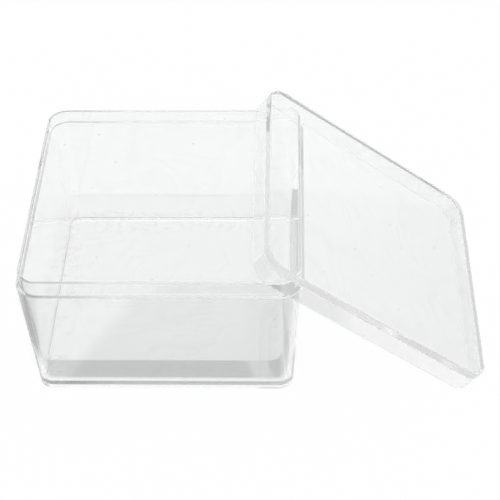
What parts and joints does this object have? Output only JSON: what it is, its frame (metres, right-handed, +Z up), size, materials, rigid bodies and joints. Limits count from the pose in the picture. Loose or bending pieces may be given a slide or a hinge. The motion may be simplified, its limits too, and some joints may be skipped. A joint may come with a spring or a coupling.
{
  "type": "storage box with lid",
  "caption": "Clear square storage box with tapered walls and a stepped neck, open, with its loose flat lid leaning on the right-hand rim.",
  "frame": {"origin": "middle of the box's foot, at table level", "axes": "+Z up; +X towards the side that the lid leans on; -Y towards the viewer of the picture"},
  "size_m": [0.1673, 0.1, 0.0679],
  "materials": {
    "clear_box": "polished, water clear",
    "clear_lid": "polished, water clear"
  },
  "bodies": {
    "box": {"box_body": "clear_box"},
    "lid": {"lid": "clear_lid"}
  },
  "joints": [
    {"name": "lid_lift", "type": "slide", "parent": "box", "child": "lid", "axis": [0, 0, 1], "range_m": [0, 0.08]}
  ]
}
